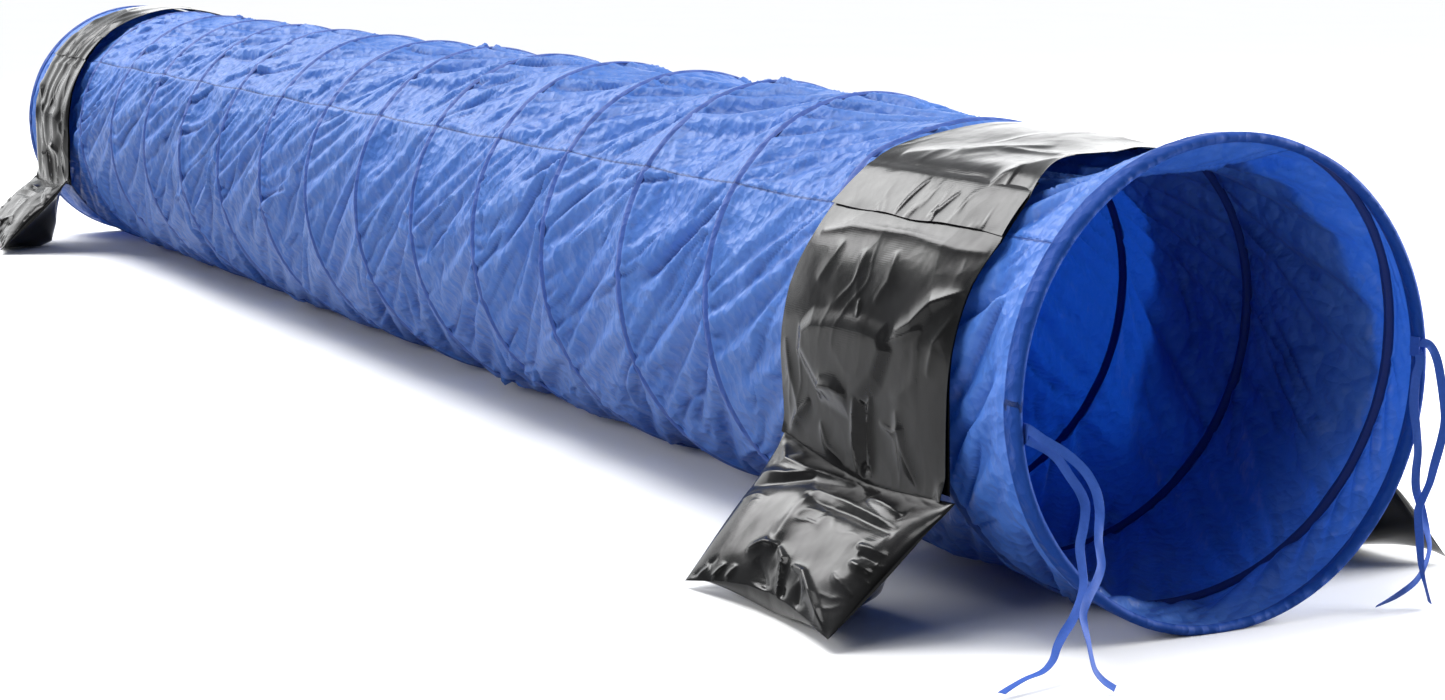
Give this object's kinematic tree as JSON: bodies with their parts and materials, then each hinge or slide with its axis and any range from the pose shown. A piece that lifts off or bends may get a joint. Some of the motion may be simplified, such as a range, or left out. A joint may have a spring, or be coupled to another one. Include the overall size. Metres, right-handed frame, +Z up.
{
  "type": "dog agility tunnel",
  "caption": "Sprung fabric dog agility tunnel on a helical wire, with folding sandbag saddles laid over both ends and ribbon ties at one mouth.",
  "frame": {"origin": "on the floor, under the middle of the tunnel's length and width", "axes": "+X along the tunnel towards the mouth with the ribbon ties, +Y to the right when looking into that mouth, +Z up"},
  "size_m": [4.913, 0.95, 0.6004],
  "materials": {
    "tunnel_cloth": "crinkled blue polyester with a soft sheen, lets light through",
    "casing_cloth": "navy woven tape",
    "ribbon": "blue woven ribbon",
    "spring_steel": "plain drawn wire",
    "cap_plastic": "black moulded cap",
    "tarpaulin": "glossy black PVC-coated scrim",
    "hook_tape": "black hook and loop tape",
    "sand": "dry sand, shown as one loose block"
  },
  "bodies": {
    "tunnel": {"main_panel": "tunnel_cloth", "top_panel": "tunnel_cloth", "casing_tape": "casing_cloth", "helix_wire": "spring_steel", "near_hem": "tunnel_cloth", "near_hoop": "spring_steel", "near_hoop_sleeve": "spring_steel", "near_wire_cap": "cap_plastic", "left_tie_tack": "ribbon", "right_tie_tack": "ribbon", "left_tie_a": "ribbon", "left_tie_b": "ribbon", "right_tie_a": "ribbon", "right_tie_b": "ribbon"},
    "far_end": {"far_hem": "tunnel_cloth", "far_hoop": "spring_steel", "far_hoop_sleeve": "spring_steel", "far_wire_cap": "cap_plastic"},
    "near_saddle": {"near_band": "tarpaulin", "near_left_pocket": "tarpaulin", "near_left_loop_tape": "hook_tape", "near_right_pocket": "tarpaulin", "near_right_loop_tape": "hook_tape"},
    "near_left_bag": {"near_left_bag": "tarpaulin", "near_left_sand": "sand"},
    "near_left_flap": {"near_left_flap": "tarpaulin", "near_left_hook_tape": "hook_tape"},
    "near_right_bag": {"near_right_bag": "tarpaulin", "near_right_sand": "sand"},
    "near_right_flap": {"near_right_flap": "tarpaulin", "near_right_hook_tape": "hook_tape"},
    "far_saddle": {"far_band": "tarpaulin", "far_left_pocket": "tarpaulin", "far_left_loop_tape": "hook_tape", "far_right_pocket": "tarpaulin", "far_right_loop_tape": "hook_tape"},
    "far_left_bag": {"far_left_bag": "tarpaulin", "far_left_sand": "sand"},
    "far_left_flap": {"far_left_flap": "tarpaulin", "far_left_hook_tape": "hook_tape"},
    "far_right_bag": {"far_right_bag": "tarpaulin", "far_right_sand": "sand"},
    "far_right_flap": {"far_right_flap": "tarpaulin", "far_right_hook_tape": "hook_tape"}
  },
  "joints": [
    {"name": "collapse", "type": "slide", "parent": "tunnel", "child": "far_end", "axis": [1, 0, 0], "range_m": [0, 4.5], "stiffness_N_per_m": 6, "deforming": ["main_panel", "top_panel", "casing_tape", "helix_wire"]},
    {"name": "near_saddle_lift", "type": "slide", "parent": "tunnel", "child": "near_saddle", "axis": [0, 0, 1], "range_m": [0, 0.65]},
    {"name": "near_left_bag_swing", "type": "hinge", "parent": "near_saddle", "child": "near_left_bag", "pos_m": [2.055, -0.3036, 0.169], "axis": [-1, 0, 0], "range_deg": [0, 90]},
    {"name": "near_left_flap_lift", "type": "hinge", "parent": "near_saddle", "child": "near_left_flap", "pos_m": [2.055, -0.18724, 0.53875], "axis": [-1, 0, 0], "range_deg": [0, 90]},
    {"name": "near_right_bag_swing", "type": "hinge", "parent": "near_saddle", "child": "near_right_bag", "pos_m": [2.055, 0.3036, 0.169], "axis": [1, 0, 0], "range_deg": [0, 90]},
    {"name": "near_right_flap_lift", "type": "hinge", "parent": "near_saddle", "child": "near_right_flap", "pos_m": [2.055, 0.18724, 0.53875], "axis": [1, 0, 0], "range_deg": [0, 90]},
    {"name": "far_saddle_lift", "type": "slide", "parent": "tunnel", "child": "far_saddle", "axis": [0, 0, 1], "range_m": [0, 0.65]},
    {"name": "far_left_bag_swing", "type": "hinge", "parent": "far_saddle", "child": "far_left_bag", "pos_m": [-2.155, -0.3036, 0.169], "axis": [-1, 0, 0], "range_deg": [0, 90]},
    {"name": "far_left_flap_lift", "type": "hinge", "parent": "far_saddle", "child": "far_left_flap", "pos_m": [-2.155, -0.18724, 0.53875], "axis": [-1, 0, 0], "range_deg": [0, 90]},
    {"name": "far_right_bag_swing", "type": "hinge", "parent": "far_saddle", "child": "far_right_bag", "pos_m": [-2.155, 0.3036, 0.169], "axis": [1, 0, 0], "range_deg": [0, 90]},
    {"name": "far_right_flap_lift", "type": "hinge", "parent": "far_saddle", "child": "far_right_flap", "pos_m": [-2.155, 0.18724, 0.53875], "axis": [1, 0, 0], "range_deg": [0, 90]}
  ]
}
